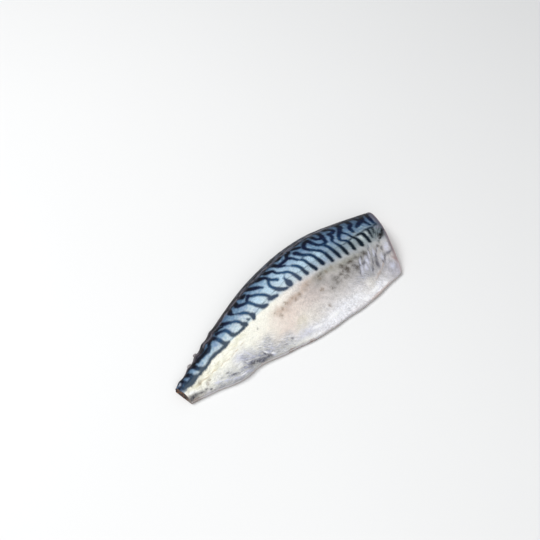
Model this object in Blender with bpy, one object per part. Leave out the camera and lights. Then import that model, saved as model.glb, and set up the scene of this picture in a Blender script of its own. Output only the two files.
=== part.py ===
"""A mackerel fillet with its skin on, lying flesh side down.

Metres, +Z up. +X runs from the tail end to the head end, +Y to the fish's back, and the
origin is the middle of the fillet's box, at the height that it rests on. The body is one
solid: a skin surface that rises from a blunt back edge to the thick loin and thins out to
the belly flap, a flat flesh side with the groove of the backbone and the hollow that the
ribs left, a square cut across the tail and a slanting cut behind the head.
"""

import math

import bmesh
import bpy
from mathutils import Vector

MM = 0.001

# Length along the back edge, from the tail cut to the head cut.
LENGTH = 239.5 * MM

# Edges of the fillet from above: distance from the tail cut, distance from the long axis.
BACK_EDGE = (
    (0, 8.8),
    (20, 16.0),
    (45, 26.4),
    (75, 36.8),
    (103, 44.8),
    (130, 49.2),
    (155, 50.8),
    (180, 48.8),
    (208, 41.0),
    (240, 30.2),
)
BELLY_EDGE = (
    (0, -8.9),
    (22, -13.6),
    (48, -20.8),
    (64, -20.0),
    (86, -25.2),
    (112, -31.4),
    (145, -34.8),
    (180, -35.8),
    (214, -32.6),
    (240, -28.0),
)

# Height of the loin, and the share of the width where it is highest, from the back edge.
CREST_HEIGHT = ((0, 7.6), (30, 10.6), (70, 15.4), (120, 19.6), (170, 21.4), (210, 20.4), (240, 17.6))
CREST_PLACE = ((0, 0.46), (70, 0.42), (140, 0.39), (240, 0.42))

# Thickness left at the two cut edges.
BACK_THICKNESS = ((0, 2.6), (60, 3.2), (150, 4.0), (240, 3.6))
BELLY_THICKNESS = ((0, 2.4), (50, 2.6), (100, 2.8), (170, 3.0), (240, 3.2))

# The skin's section: a full round on the back side, and on the belly side a round at the
# tail that turns into a long slope over the belly flap.
BACK_ROUND = 2.35
TAIL_ROUND = 2.1
FLAP_BEND = 1.55
FLAP_FADE = 1.12
FLAP_FROM = 45 * MM
FLAP_WHOLE = 120 * MM

# The head cut runs back from the nape to the belly, with a shallow bow.
HEAD_CUT_SLANT = 22.6 * MM
HEAD_CUT_BOW = 1.6 * MM
TAIL_CUT_SLANT = 1.5 * MM
CORNER_ROUNDING = 2.4 * MM
CORNER_SHARPNESS = 12

# Relief of the flesh side.
SPINE_PLACE = 0.5
SPINE_GROOVE_DEPTH = 1.2 * MM
SPINE_GROOVE_WIDTH = 4.0 * MM
SPINE_GROOVE_FROM = 8 * MM
SPINE_GROOVE_WHOLE = 40 * MM
RIB_HOLLOW_DEPTH = 1.5 * MM
RIB_HOLLOW_PLACE = 0.70
RIB_HOLLOW_WIDTH = 0.17
RIB_HOLLOW_FROM = 95 * MM
RIB_HOLLOW_WHOLE = 125 * MM
EDGE_OF_FLAT = 0.06
FLAT_BELOW = 0.1 * MM

# Folds of the skin, in mm: where each starts and ends, as distance from the tail cut and
# distance from the long axis, then its half width and its rise, below 0 for a crease.
SKIN_FOLDS = (
    # Creases and the long ridge behind the gill opening.
    ((208, -9), (199, -21), 2.4, -0.8),
    ((216, -11), (208, -20), 2.2, -0.7),
    ((211, -20), (184, -26), 2.4, 0.7),
    ((197, -6), (188, -15), 2.8, -0.5),
    ((226, 3), (219, 0), 2.6, -0.6),
    # Wrinkles where the belly flap begins.
    ((70, -14), (84, -21), 2.2, 0.6),
    ((60, -13), (75, -19), 2.4, -0.6),
    ((36, -12), (54, -17), 2.2, 0.4),
)

# Slow waves of the whole skin and of the belly edge.
SKIN_WAVE_HEIGHT = 0.35 * MM
BELLY_WAVE = 0.55 * MM
SKIN_WAVE_LENGTHS = (13 * MM, 31 * MM)
BELLY_WAVE_LENGTHS = (7.3 * MM, 3.9 * MM)

# Finlet stubs on the back edge near the tail: distances from the tail cut.
FINLETS = (5, 18, 30, 42, 54)
FINLET_REACH = 1.0 * MM
FINLET_LENGTH = 3.0 * MM

RINGS = 64
RINGS_CROWDED_AT_ENDS = 0.4
ACROSS = 28
ACROSS_CROWDED_AT_EDGES = 0.55
CUT_LAYERS = 3

SKIN_COLOUR = (0.30, 0.42, 0.52, 1.0)
SKIN_ROUGHNESS = 0.35


def curve(points, along):
    """Smooth curve through (distance in mm, value in mm) points, read at a distance in metres."""
    at = along / MM
    last = len(points) - 2
    i = 0
    while i < last and at > points[i + 1][0]:
        i += 1
    (x0, y0), (x1, y1) = points[i], points[i + 1]
    before = points[max(i - 1, 0)]
    after = points[min(i + 2, last + 1)]
    slope0 = (y1 - before[1]) / (x1 - before[0])
    slope1 = (after[1] - y0) / (after[0] - x0)
    span = x1 - x0
    t = (at - x0) / span
    value = (
        (2 * t**3 - 3 * t**2 + 1) * y0
        + (t**3 - 2 * t**2 + t) * span * slope0
        + (3 * t**2 - 2 * t**3) * y1
        + (t**3 - t**2) * span * slope1
    )
    return value


def ramp(low, high, value):
    """0 below low and 1 above high, with a smooth rise between them."""
    t = min(max((value - low) / (high - low), 0.0), 1.0)
    return t * t * (3 - 2 * t)


def bell(distance, width):
    return math.exp(-((distance / width) ** 2))


def back_edge(along):
    stubs = sum(bell(along - at * MM, FINLET_LENGTH) for at in FINLETS)
    return curve(BACK_EDGE, along) * MM + FINLET_REACH * stubs


def belly_edge(along):
    long_wave, short_wave = BELLY_WAVE_LENGTHS
    wave = math.sin(along / long_wave) + 0.6 * math.sin(along / short_wave + 1.0)
    return curve(BELLY_EDGE, along) * MM + 0.5 * BELLY_WAVE * wave


def aside(along, across):
    """Distance from the long axis at a share of the way from the back edge to the belly edge."""
    return back_edge(along) * (1 - across) + belly_edge(along) * across


def cut_shift(across, share):
    """How far a point moves along the fillet because the two end cuts slant and bow."""
    head = -HEAD_CUT_SLANT * across + HEAD_CUT_BOW * math.sin(math.pi * across)
    head -= CORNER_ROUNDING * (2 * across - 1) ** CORNER_SHARPNESS
    tail = TAIL_CUT_SLANT * (across - 0.5)
    return head * share + tail * (1 - share)


def fold_relief(along, aside):
    """Rise of the skin from its folds, each a soft welt or crease on a straight line."""
    place = Vector((along, aside)) / MM
    height = 0.0
    for start, end, half_width, rise in SKIN_FOLDS:
        start, end = Vector(start), Vector(end)
        run = end - start
        share = min(max((place - start).dot(run) / run.length_squared, 0.0), 1.0)
        height += rise * MM * bell((place - start - share * run).length, half_width)
    return height


def skin_height(along, across):
    """Height of the skin over the table."""
    crest = curve(CREST_HEIGHT, along) * MM
    place = curve(CREST_PLACE, along)
    if across < place:
        edge = curve(BACK_THICKNESS, along) * MM
        out = 1 - across / place
        share = (1 - out**BACK_ROUND) ** (1 / BACK_ROUND)
    else:
        edge = curve(BELLY_THICKNESS, along) * MM
        out = (across - place) / (1 - place)
        rounded = (1 - out**TAIL_ROUND) ** (1 / TAIL_ROUND)
        draped = (1 - out**FLAP_BEND) ** FLAP_FADE
        flap = ramp(FLAP_FROM, FLAP_WHOLE, along)
        share = rounded + (draped - rounded) * flap
    inside = math.sin(math.pi * across)
    short_wave, long_wave = SKIN_WAVE_LENGTHS
    wave = math.sin(along / short_wave + 5 * across) * math.sin(along / long_wave + 9 * across + 1)
    relief = SKIN_WAVE_HEIGHT * wave + fold_relief(along, aside(along, across))
    return edge + (crest - edge) * share + inside * relief


def flesh_height(along, across):
    """Height of the flesh side over the table: 0 where the fillet rests."""
    inside = ramp(0, EDGE_OF_FLAT, across) * ramp(0, EDGE_OF_FLAT, 1 - across)
    width = back_edge(along) - belly_edge(along)
    groove = SPINE_GROOVE_DEPTH * bell((across - SPINE_PLACE) * width, SPINE_GROOVE_WIDTH)
    groove *= ramp(SPINE_GROOVE_FROM, SPINE_GROOVE_WHOLE, along)
    ribs = RIB_HOLLOW_DEPTH * bell(across - RIB_HOLLOW_PLACE, RIB_HOLLOW_WIDTH)
    ribs *= ramp(RIB_HOLLOW_FROM, RIB_HOLLOW_WHOLE, along)
    return max(inside * (groove + ribs) - FLAT_BELOW, 0.0)


def spaced(index, count, crowding):
    """Share of the way for one of count steps, with the steps shorter towards both ends."""
    even = index / count
    return even - crowding * math.sin(2 * math.pi * even) / (2 * math.pi)


def section(share):
    """One closed ring round the fillet: the skin from back to belly, then the flesh side back."""
    skin, flesh = [], []
    for j in range(ACROSS + 1):
        across = spaced(j, ACROSS, ACROSS_CROWDED_AT_EDGES)
        along = share * LENGTH + cut_shift(across, share)
        y = aside(along, across)
        skin.append(Vector((along, y, skin_height(along, across))))
        flesh.append(Vector((along, y, flesh_height(along, across))))
    return skin, flesh


def build_body():
    """Lofts the rings into one closed mesh and closes both cuts with a grid."""
    body = bmesh.new()
    columns = []
    for i in range(RINGS + 1):
        skin, flesh = section(spaced(i, RINGS, RINGS_CROWDED_AT_ENDS))
        rows = []
        for k in range(CUT_LAYERS + 1):
            down = k / CUT_LAYERS
            at_end = i in (0, RINGS)
            row = []
            for j in range(ACROSS + 1):
                at_edge = j in (0, ACROSS)
                on_surface = k in (0, CUT_LAYERS)
                keep = at_end or at_edge or on_surface
                row.append(body.verts.new(skin[j].lerp(flesh[j], down)) if keep else None)
            rows.append(row)
        columns.append(rows)

    def face(a, b, c, d):
        body.faces.new((a, b, c, d))

    for i in range(RINGS):
        near, far = columns[i], columns[i + 1]
        for j in range(ACROSS):
            face(near[0][j], near[0][j + 1], far[0][j + 1], far[0][j])
            face(near[-1][j + 1], near[-1][j], far[-1][j], far[-1][j + 1])
        for k in range(CUT_LAYERS):
            face(near[k + 1][0], near[k][0], far[k][0], far[k + 1][0])
            face(near[k][-1], near[k + 1][-1], far[k + 1][-1], far[k][-1])
    for rows, turned in ((columns[0], False), (columns[-1], True)):
        for k in range(CUT_LAYERS):
            for j in range(ACROSS):
                corners = (rows[k][j], rows[k + 1][j], rows[k + 1][j + 1], rows[k][j + 1])
                face(*(reversed(corners) if turned else corners))
    body.normal_update()
    return body


def to_box_bottom_centre(body):
    low = Vector(min(v.co[i] for v in body.verts) for i in range(3))
    high = Vector(max(v.co[i] for v in body.verts) for i in range(3))
    shift = Vector((-(low.x + high.x) / 2, -(low.y + high.y) / 2, -low.z))
    bmesh.ops.translate(body, verts=body.verts, vec=shift)


def skin_material():
    material = bpy.data.materials.new("mackerel_skin")
    material.use_nodes = True
    shader = material.node_tree.nodes["Principled BSDF"]
    shader.inputs["Base Color"].default_value = SKIN_COLOUR
    shader.inputs["Roughness"].default_value = SKIN_ROUGHNESS
    shader.inputs["Metallic"].default_value = 0.0
    return material


def main():
    for thing in list(bpy.data.objects):
        bpy.data.objects.remove(thing)
    body = build_body()
    to_box_bottom_centre(body)
    mesh = bpy.data.meshes.new("fillet")
    body.to_mesh(mesh)
    body.free()
    mesh.materials.append(skin_material())
    mesh.shade_smooth()
    mesh.set_sharp_from_angle(angle=math.radians(40))
    fillet = bpy.data.objects.new("fillet", mesh)
    bpy.context.scene.collection.objects.link(fillet)


main()
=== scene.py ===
"""Looks of a raw mackerel fillet with its skin on.

One closed mesh stands for the whole fillet, its skin, its cuts and its flesh side, and two small
finlets stand on its back edge. Places on the fish are in mm: "along" runs from the tail cut to the
head cut, "aside" from the long axis towards the back, and "down" over the skin from the back edge
to the belly.
"""

import math

import bpy
import numpy as np
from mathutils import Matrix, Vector


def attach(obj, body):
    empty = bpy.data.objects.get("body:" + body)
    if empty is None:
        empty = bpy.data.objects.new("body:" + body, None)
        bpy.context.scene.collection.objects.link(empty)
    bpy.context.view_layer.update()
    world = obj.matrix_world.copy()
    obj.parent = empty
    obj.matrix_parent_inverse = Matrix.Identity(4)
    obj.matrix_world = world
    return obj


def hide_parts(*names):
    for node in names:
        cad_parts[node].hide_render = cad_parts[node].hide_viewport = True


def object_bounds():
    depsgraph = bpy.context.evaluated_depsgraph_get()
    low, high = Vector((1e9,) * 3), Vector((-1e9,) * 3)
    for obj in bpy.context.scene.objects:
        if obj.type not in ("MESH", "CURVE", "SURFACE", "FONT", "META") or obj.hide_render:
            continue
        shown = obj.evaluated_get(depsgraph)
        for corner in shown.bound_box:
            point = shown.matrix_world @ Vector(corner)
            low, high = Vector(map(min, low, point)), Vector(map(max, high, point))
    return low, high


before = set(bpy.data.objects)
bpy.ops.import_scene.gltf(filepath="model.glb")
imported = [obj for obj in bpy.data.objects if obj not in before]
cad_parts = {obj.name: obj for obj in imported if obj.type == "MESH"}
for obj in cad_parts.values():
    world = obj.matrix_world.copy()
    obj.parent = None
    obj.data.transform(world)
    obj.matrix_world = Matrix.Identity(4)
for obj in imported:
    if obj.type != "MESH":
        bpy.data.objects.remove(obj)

CAD_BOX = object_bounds()
MM = 0.001

# The fillet's outline and section, in mm, as its solid has them.
LENGTH = 239.5
BACK_EDGE = (
    (0, 8.8), (20, 16), (45, 26.4), (75, 36.8), (103, 44.8), (130, 49.2), (155, 50.8), (180, 48.8),
    (208, 41), (240, 30.2),
)
BELLY_EDGE = (
    (0, -8.9), (22, -13.6), (48, -20.8), (64, -20), (86, -25.2), (112, -31.4), (145, -34.8), (180, -35.8),
    (214, -32.6), (240, -28),
)
CREST_HEIGHT = ((0, 7.6), (30, 10.6), (70, 15.4), (120, 19.6), (170, 21.4), (210, 20.4), (240, 17.6))
CREST_PLACE = ((0, 0.46), (70, 0.42), (140, 0.39), (240, 0.42))
BACK_THICKNESS = ((0, 2.6), (60, 3.2), (150, 4), (240, 3.6))
BELLY_THICKNESS = ((0, 2.4), (50, 2.6), (100, 2.8), (170, 3), (240, 3.2))
BACK_ROUND = 2.35
TAIL_ROUND = 2.1
FLAP_BEND = 1.55
FLAP_FADE = 1.12
FLAP_REACH = (45, 120)
HEAD_CUT_SLANT = 22.6
HEAD_CUT_BOW = 1.6
TAIL_CUT_SLANT = 1.5
CORNER_ROUNDING = 2.4
CORNER_SHARPNESS = 12
SPINE_PLACE = 0.5
SPINE_GROOVE_DEPTH = 1.2
SPINE_GROOVE_WIDTH = 4.0
SPINE_GROOVE_REACH = (8, 40)
RIB_HOLLOW_DEPTH = 1.5
RIB_HOLLOW_PLACE = 0.70
RIB_HOLLOW_WIDTH = 0.17
RIB_HOLLOW_REACH = (95, 125)
EDGE_OF_FLAT = 0.06
FLAT_BELOW = 0.1
SKIN_WAVE_HEIGHT = 0.35
SKIN_WAVE_LENGTHS = (13, 31)
BELLY_WAVE = 0.55
BELLY_WAVE_LENGTHS = (7.3, 3.9)
STUBS = (5, 18, 30, 42, 54)
STUB_REACH = 1.0
STUB_LENGTH = 3.0

# Folds of the skin: start and end as (along, aside), half width, rise.
SKIN_FOLDS = (
    ((208, -9), (199, -21), 2.4, -0.8), ((216, -11), (208, -20), 2.2, -0.7),
    ((211, -20), (184, -26), 2.4, 0.7), ((197, -6), (188, -15), 2.8, -0.5), ((226, 3), (219, 0), 2.6, -0.6),
    ((70, -14), (84, -21), 2.2, 0.6), ((60, -13), (75, -19), 2.4, -0.6), ((36, -12), (54, -17), 2.2, 0.4),
)

# Torn finlets on the back edge: along, half length, reach beyond the edge, tilt in degrees.
FINLETS = ((22.4, 2.7, 1.8, 28), (33, 2.2, 2, 50))
FINLET_THICKNESS = 1.1
FINLET_HEIGHT = 1.7
FINLET_RAGGED = 0.16
FINLET_FINENESS = (24, 12)

# Where the blue of the back gives way to the pale flank: (along, down), and over how many mm.
BACK_ZONE_END = (
    (0, 12.5), (15, 15.5), (34, 20.5), (53, 28.5), (76, 35.5), (100, 41), (124, 45.5), (146, 49.5),
    (172, 53), (188, 52), (210, 49.5), (240, 42),
)
BACK_ZONE_FADE = ((0, 0.8), (100, 1.6), (140, 4.5), (240, 6.5))

# Dark bars of the back, each a stroke of (along, down, thickness).
BARS = (
    ((0, 6.8, 1.8), (3, 8.8, 2.2), (7, 9.4, 2.4)),
    ((3.5, 10.6, 3), (8, 12.6, 4.6), (13, 13.4, 5), (17, 16, 2.2), (20, 17.2, 1.8), (24, 17.2, 2),
     (28, 19.8, 1.8), (31, 20.3, 1.8), (35, 19.9, 2), (39, 21.8, 2.2), (43, 24, 2), (48, 25.6, 2.2),
     (52.5, 28.2, 2.4), (55.5, 28.8, 1.2)),
    ((2, 2.6, 1.4), (5.5, 3.8, 1.6), (8.5, 4.2, 2)),
    ((6.3, 3, 2), (6.3, 7, 2.4)),
    ((10.5, 3, 2.6), (12.5, 6.5, 2.8), (14.5, 10.5, 2.8)),
    ((16, 4.5, 2.4), (21, 6.4, 3.2), (25, 6.8, 2.6)),
    ((21.5, 7, 3.4), (22.3, 12, 2.8), (24, 16.8, 3)),
    ((25.5, 7, 2.2), (28, 9.8, 3.2), (31, 11.2, 3.4), (35, 12, 3.4), (38.5, 13.6, 3.6), (41.3, 15.2, 3.4),
     (43, 13.4, 2.6), (46, 11.4, 2.4), (49.3, 12.4, 2.4), (51, 17, 2.2), (51.6, 22, 2.4), (52.4, 27, 2.8)),
    ((54, 14.8, 3), (57.5, 16.8, 2), (60.8, 20, 2), (61.8, 24, 2.2), (61.8, 28, 2.4), (65, 31.4, 1.7),
     (69, 33.2, 1.3), (73, 34.4, 2)),
    ((56, 12.6, 1.2), (59, 13.2, 1.5), (62, 15.6, 1.3)),
    ((63.5, 13.2, 3), (65.5, 16.5, 2.6), (69, 20.5, 1.8), (72.2, 24, 1.9), (74, 28, 2), (74.4, 31.5, 2.4),
     (76, 34.6, 3)),
    ((76, 14, 5), (75.6, 17, 2), (77.2, 20, 0.5), (80, 23.6, 1.5), (83.2, 27.8, 1.8), (85, 32, 2),
     (85.9, 35.8, 3.8), (84.8, 37.4, 2.8)),
    ((85.5, 12, 4.4), (84.4, 16.6, 3.8), (86, 19.6, 2.4), (88.6, 21.8, 2.2), (91.6, 24, 2.2),
     (93.4, 28.3, 1.9), (94.3, 32.5, 1.8), (96.2, 36.6, 2.6), (98.2, 39.4, 3.2), (101.4, 41, 1.4)),
    ((91.6, 24, 2), (94, 21.8, 2.6), (97, 21.6, 2.2)),
    ((92, 12, 3), (93.5, 16.4, 4), (95.6, 17, 2.4)),
    ((96.5, 20, 2.2), (99, 24.2, 2), (102.2, 27.4, 1.8), (104.9, 31, 1.8), (107, 34.6, 2), (107.8, 38, 2.4)),
    ((106, 39, 2), (108.5, 40.4, 3), (113.4, 42.6, 2)),
    ((99, 11, 3), (101.5, 15.5, 3.4), (104.8, 20, 3.4), (107.6, 23.2, 2.4), (110.6, 27.4, 1.4)),
    ((109, 14, 1.8), (110, 16, 1.8)),
    ((112, 12, 3), (114, 17.5, 4.8), (117, 20.4, 3.2), (119, 22.8, 2.2), (119.8, 26, 2.2), (117, 29, 2),
     (115.8, 32.6, 2), (116.6, 36.2, 2.2), (118.4, 40.2, 3), (122, 43.8, 2.4), (124.6, 45, 1.4)),
    ((119.8, 26, 1.8), (121.2, 28.8, 1.7), (123.6, 31.4, 1.9), (124.4, 33, 2.2)),
    ((129.2, 36.8, 0.6), (129, 40.5, 2.8), (128.6, 43.6, 5.2), (128.8, 45.2, 3.6)),
    ((80, 32.6, 0.7), (81, 34.2, 0.9)),
    ((121, 14, 2.8), (123, 19.6, 3.2), (125.5, 21.4, 3.2), (128, 23.4, 2.4), (129, 27.6, 1.7),
     (132.4, 31.8, 1.7), (135.6, 34.8, 1.8), (137.3, 38.8, 1.8), (137.7, 43, 2.4), (138.3, 47.4, 2.8)),
    ((131, 12, 2.8), (132.5, 16, 4), (134.2, 21, 3.2), (136, 25.2, 2.4), (139.2, 28.4, 1.6)),
    ((137, 24, 2.2), (141, 24.6, 2.8), (146.4, 25, 3), (148.8, 28.2, 2.2), (150.3, 32.4, 1.7)),
    ((146.6, 24, 2.4), (149, 20.8, 3), (152, 20.2, 3), (153, 14, 2.2)),
    ((139, 17.4, 2.8), (142.5, 18, 2.8), (146, 15, 2)),
    ((143.2, 33.8, 2), (145.2, 36.8, 2.1), (146.3, 41, 2.1), (146, 45, 2.2), (146.4, 48, 2.8)),
    ((153, 35, 1.2), (153.9, 37.5, 1.8), (154, 42, 2), (154.6, 46.8, 2.7), (155.2, 50, 2.8)),
    ((154.6, 25.2, 3.6), (156.6, 31, 2.6), (158.6, 33.8, 2.6), (161.2, 35.8, 2.1), (162.6, 40, 2.2),
     (163, 45, 2.9), (163.3, 50, 3)),
    ((157, 20, 2.8), (159.5, 21.8, 3.2), (161.8, 23.2, 2.4)),
    ((150.6, 33, 0.3), (152.8, 35.4, 0.2), (156.8, 33, 0.2)),
    ((139.4, 29, 0), (141, 31.4, -0.2), (143, 33.6, 0.3)),
    ((134.2, 32.6, -0.2), (131.8, 34.6, -0.4), (129.6, 36.8, 0)),
    ((172, 21, 2.6), (167.6, 22.6, 3.2), (164, 27, 3), (165.2, 31.4, 2.2), (168, 35.3, 2),
     (170.5, 38.4, 2.1), (171.6, 42.2, 2.4), (171.6, 47.4, 2.4), (171.4, 52, 2.4)),
    ((171.8, 22, 3.2), (172.4, 27.6, 2.8), (173.8, 32, 2.4), (177, 34.2, 2.3), (178.4, 38, 2.1),
     (178.9, 42.2, 2.4), (178.9, 48.4, 2.6), (178.8, 51.8, 2.4)),
    ((177, 34.2, 2.2), (181, 33, 2.6), (182.6, 29.4, 2.4), (184.2, 25.2, 2.6), (184.7, 18.5, 3)),
    ((177.4, 19, 2.6), (178.4, 25.8, 2.6), (181.4, 26.8, 2.4), (184, 24.4, 2.2)),
    ((189.8, 26, 2.8), (189.2, 30.6, 2.2), (186, 34.6, 1.6), (185.8, 38.4, 1.3), (186.5, 42.6, 2.2),
     (186.4, 47.4, 2.6), (185.9, 51.8, 2.4)),
    ((189.8, 26.4, 2.6), (192.6, 26, 2.8), (195.6, 23.8, 2.6), (194.4, 20.4, 2.6), (190.8, 18.4, 2.6)),
    ((202.6, 17, 3.4), (203, 22.5, 3.4), (200.4, 25.2, 3), (198.2, 28.4, 3), (193.9, 32.4, 2.2),
     (191.4, 37.6, 1.8), (194.6, 40.4, 2), (194.8, 45.6, 2.4), (194.1, 49.6, 2.4)),
    ((198.2, 28.4, 2.2), (200.4, 33.4, 1.6), (201, 38.2, 1.6), (202.6, 41.6, 2.6), (202.6, 46.4, 3),
     (202, 48.2, 2.6)),
    ((212.4, 15.5, 3.4), (211.6, 23.5, 2.8), (207.5, 27.6, 2.4), (205.9, 33.2, 1.9)),
    ((226.5, 13.8, 2.6), (224.4, 19.6, 3.2), (221, 23.2, 3.8), (216.5, 26.2, 2.8), (212.4, 29.2, 1.6)),
    ((219, 13.5, 2.6), (220.6, 19, 2.8), (221, 22, 2.6)),
    ((222.4, 24, 2.4), (223.3, 30, 1.9)),
    ((231.5, 15, 2.2), (229.2, 22.6, 2.4), (227.6, 29, 1.8)),
    ((210.6, 38.4, 2.6), (210.4, 43, 2.4), (209.8, 47, 1.8)),
    ((217.4, 35.8, 1.6), (215.8, 40.4, 0.9), (214.8, 43.6, 0.2)),
    ((222, 34, 1), (219.6, 39.4, 0.3)),
    ((189.6, 43, -0.2), (195.8, 41, 0.2), (202, 38.9, -0.1), (208.6, 37.5, 1.3), (212.6, 35.8, -0.1),
     (218, 34.4, 0.9), (223.2, 33, 0), (228, 31, 0.7)),
)
BAR_STEP = 0.6
BAR_BLEND = 0.35
BAR_SPREAD = 0.45
BAR_MARGIN = 5
BAR_FAR = 3

# Down to where the ridge of the back is mostly dark: (along, down).
RIDGE_END = (
    (0, 2.2), (14, 4.8), (22, 6.6), (32, 9.4), (46, 10.8), (60, 11.6), (70, 11.4), (84, 13.4), (102, 15),
    (122, 17.8), (145, 18.8), (180, 19), (205, 18.2), (225, 17), (240, 15),
)

# The pale line along the ridge of the back, a painted highlight where the cut skin curls over: (along,
# down).
RIDGE_SHEEN = (
    (12, 2.4), (24, 4.6), (35, 6.6), (47, 9), (60, 11), (72, 11.2), (90, 12), (120, 14.8), (150, 15.8),
    (180, 15.8), (200, 14.8), (209, 13.2), (217, 10.8), (238, 8.8),
)
RIDGE_SHEEN_WIDTH = 1.1

# The thin lateral line: (along, down).
LATERAL_LINE = (
    (56, 28.2), (66, 32), (78, 34), (88, 36), (103, 37.4), (120, 38.7), (132, 39.6), (142, 42.6),
    (150, 43.4), (162, 44.2), (175, 43.4), (190, 42.4),
)
LATERAL_LINE_WIDTH = 0.46
LATERAL_RELIEF_WIDTH = 0.5

# Thin ochre line along the pale flank of the tail: (along, down).
FLANK_LINE = ((12, 20), (22, 24), (34, 30), (50, 37.5), (66, 41))
FLANK_LINE_WIDTH = 0.5

# Over how many mm a thin line starts and ends.
LINE_START = (-4, 4)
LINE_END = (2, -6)

# Washes of the flank and belly: name, colour as seen, strength, how far speckle breaks it, and ovals
# of along, down, half sizes along and across their run, and tilt in degrees.
WASHES = (
    ("pink", "#e8d7cd", 0.9, 0.25, ((110, 61, 27, 12, 6), (102, 67, 22, 9, 10))),
    ("beige", "#c3b7b2", 0.9, 0.3, ((143, 62, 20, 9, 0), (124, 57, 20, 3, 4))),
    ("umber", "#c2ac9b", 0.85, 0.5, ((105, 54, 7, 4, 20), (121, 55.5, 12, 2.8, 4), (137, 56.5, 9, 2.4, 0))),
    ("ochre", "#cac4a2", 0.8, 0.6, (
        (14, 19.5, 10, 3.4, 20), (30, 26, 22, 4, 24), (58, 34, 14, 3, 20), (112, 74, 6, 2.4, 0),
    )),
    ("butter", "#e2dccf", 0.85, 0.4, ((184, 82.5, 9, 3.4, -35), (176, 88, 5, 2.6, -20))),
    ("white", "#f6f7fc", 0.9, 0.2, ((150, 92, 46, 9, -4), (188, 87, 16, 5, -25), (50, 57, 8, 1.6, 30))),
    ("silver", "#a9acb6", 0.95, 0.5, ((88, 73, 16, 7, 32), (78, 62, 11, 6, 40), (182, 75, 13, 4.5, -14))),
    ("frost", "#cfd0de", 0.9, 0.3, ((112, 83, 17, 5, 26), (54, 46, 9, 4, 34))),
    ("lilac", "#999cab", 0.95, 0.35, (
        (42, 50, 26, 7, 38), (28.5, 41, 11, 3.6, 40), (57, 51, 10, 6, 30), (70, 64, 12, 5, 36),
    )),
    ("slate", "#7d7f95", 0.9, 0.4, ((66, 63, 11, 4, 36), (52, 54, 11, 1.7, 40), (60, 56, 8, 3.4, 30))),
    ("haze", "#a3a19f", 0.85, 0.3, ((176, 65, 20, 8, -8), (160, 68, 13, 8, 0), (150, 62, 8, 4, 0))),
    ("olive", "#898a7e", 0.9, 0.35, ((186, 56, 24, 4.5, -4), (160, 57, 16, 4, 0))),
    ("smudge", "#5a554e", 0.95, 0.25, (
        (163, 68.6, 5.4, 3.6, -20), (168.5, 64.4, 6, 2.6, -25), (174, 60.2, 3.6, 2.8, 0),
        (176.2, 65, 3.2, 4.2, 15), (184.4, 66, 4.4, 3.6, -30), (182.6, 59.6, 3.8, 2.1, -8),
        (190, 57, 6, 2, 0), (198.4, 55.8, 4, 3.2, 0), (172, 69.4, 4, 2.2, 0), (152.4, 58.6, 4.4, 2.4, 0),
        (154, 72, 4, 2.2, 0),
    )),
    ("collar", "#7c7f85", 0.95, 0.3, ((203, 62, 15, 12, -60), (193, 66, 11, 8, -60))),
    ("front", "#b5b4bf", 0.9, 0.3, ((213, 75, 11, 8, -50),)),
    ("red", "#ae8580", 0.8, 0.4, ((219.4, 66.4, 1.7, 3.6, 10), (215.4, 76, 1.3, 2.8, 25))),
)

# The same for the tail's end.
TAIL_WASHES = (
    ("tail_brown", "#968a83", 0.85, 0.4, ((8, 28.4, 8, 2.8, 40), (3, 25, 5, 2.2, 38))),
    ("tail_lilac", "#d3d0d9", 0.85, 0.3, ((16, 32.6, 6, 2.2, 42),)),
    ("tail_grey", "#545156", 0.95, 0.25, ((3, 20.8, 6.5, 2.6, 38), (11.2, 25.4, 4.6, 1.3, 42))),
    ("tail_cream", "#e6e3d2", 0.8, 0.4, ((5, 15.4, 5, 2.2, 26),)),
    ("tail_white", "#f6f6f4", 0.95, 0.2, ((4.8, 18.4, 6.5, 1, 40),)),
    ("tail_olive", "#a5a08b", 0.8, 0.5, ((14, 19.6, 3.2, 1.4, 20), (22, 26.2, 2.4, 1.2, 20))),
)

# The same for the cells of the back.
BACK_WASHES = (
    ("drab", "#8b989a", 0.8, 0.4, ((200, 46, 14, 6, 0), (186, 47, 8, 5, 0), (219, 40, 8, 5, -20))),
    ("light", "#b8d4e6", 0.85, 0.35, (
        (98, 31, 6, 7, 20), (112, 33, 6, 8, 0), (128, 34, 8, 8, 0), (148, 39, 9, 6, 0), (159, 39, 4, 6, 0),
        (167, 41, 3.4, 5, 0),
    )),
    ("bright", "#cdd9d9", 0.85, 0.2, ((206.4, 41.4, 2, 3.2, 0), (213.4, 39, 1.4, 2.8, 8))),
    # Painted shade at the head end of the back.
    ("head_shade", "#2e363c", 0.9, 0.2, ((226, 35.5, 7, 3.4, -62), (220, 42, 9, 5, -40))),
    ("veil", "#858290", 0.8, 0.3, ((231.5, 23, 8, 2.6, -72), (226.4, 34.4, 1.8, 1.3, -40))),
    ("tail_end", "#565c70", 0.9, 0.3, ((1, 9, 3.4, 5, 30), (10, 12.5, 7, 2.6, 16))),
    ("tail_cell", "#a9b0bb", 0.9, 0.2, ((3.6, 6, 1.4, 1.5, 20),)),
)

# Near-black blotches at the head cut: ovals alone.
BLOTCHES = (
    (223.2, 42.6, 4, 2, -42), (226.8, 39, 2.8, 1.4, -50), (225.2, 41, 2.2, 1.5, -45),
    (220.2, 45.8, 2.6, 0.9, -36),
)

# Brown spots in a row along the flank: along, down, size.
BROWN_SPOTS = (
    (101, 51, 1.2), (103.5, 57, 1.6), (109, 53.5, 1.5), (113.5, 53, 1.6), (120.5, 54, 1.1), (123, 57, 1.4),
    (128, 56.8, 1.5), (134.5, 57.5, 1.3), (139, 55.5, 1.2), (152, 58, 1.5), (160, 57, 1.2), (166, 56, 1.5),
    (15, 20.3, 1.3), (22.5, 27, 1.2), (19, 27.5, 1), (142, 81, 1.6), (146, 67, 1.6),
)

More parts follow.
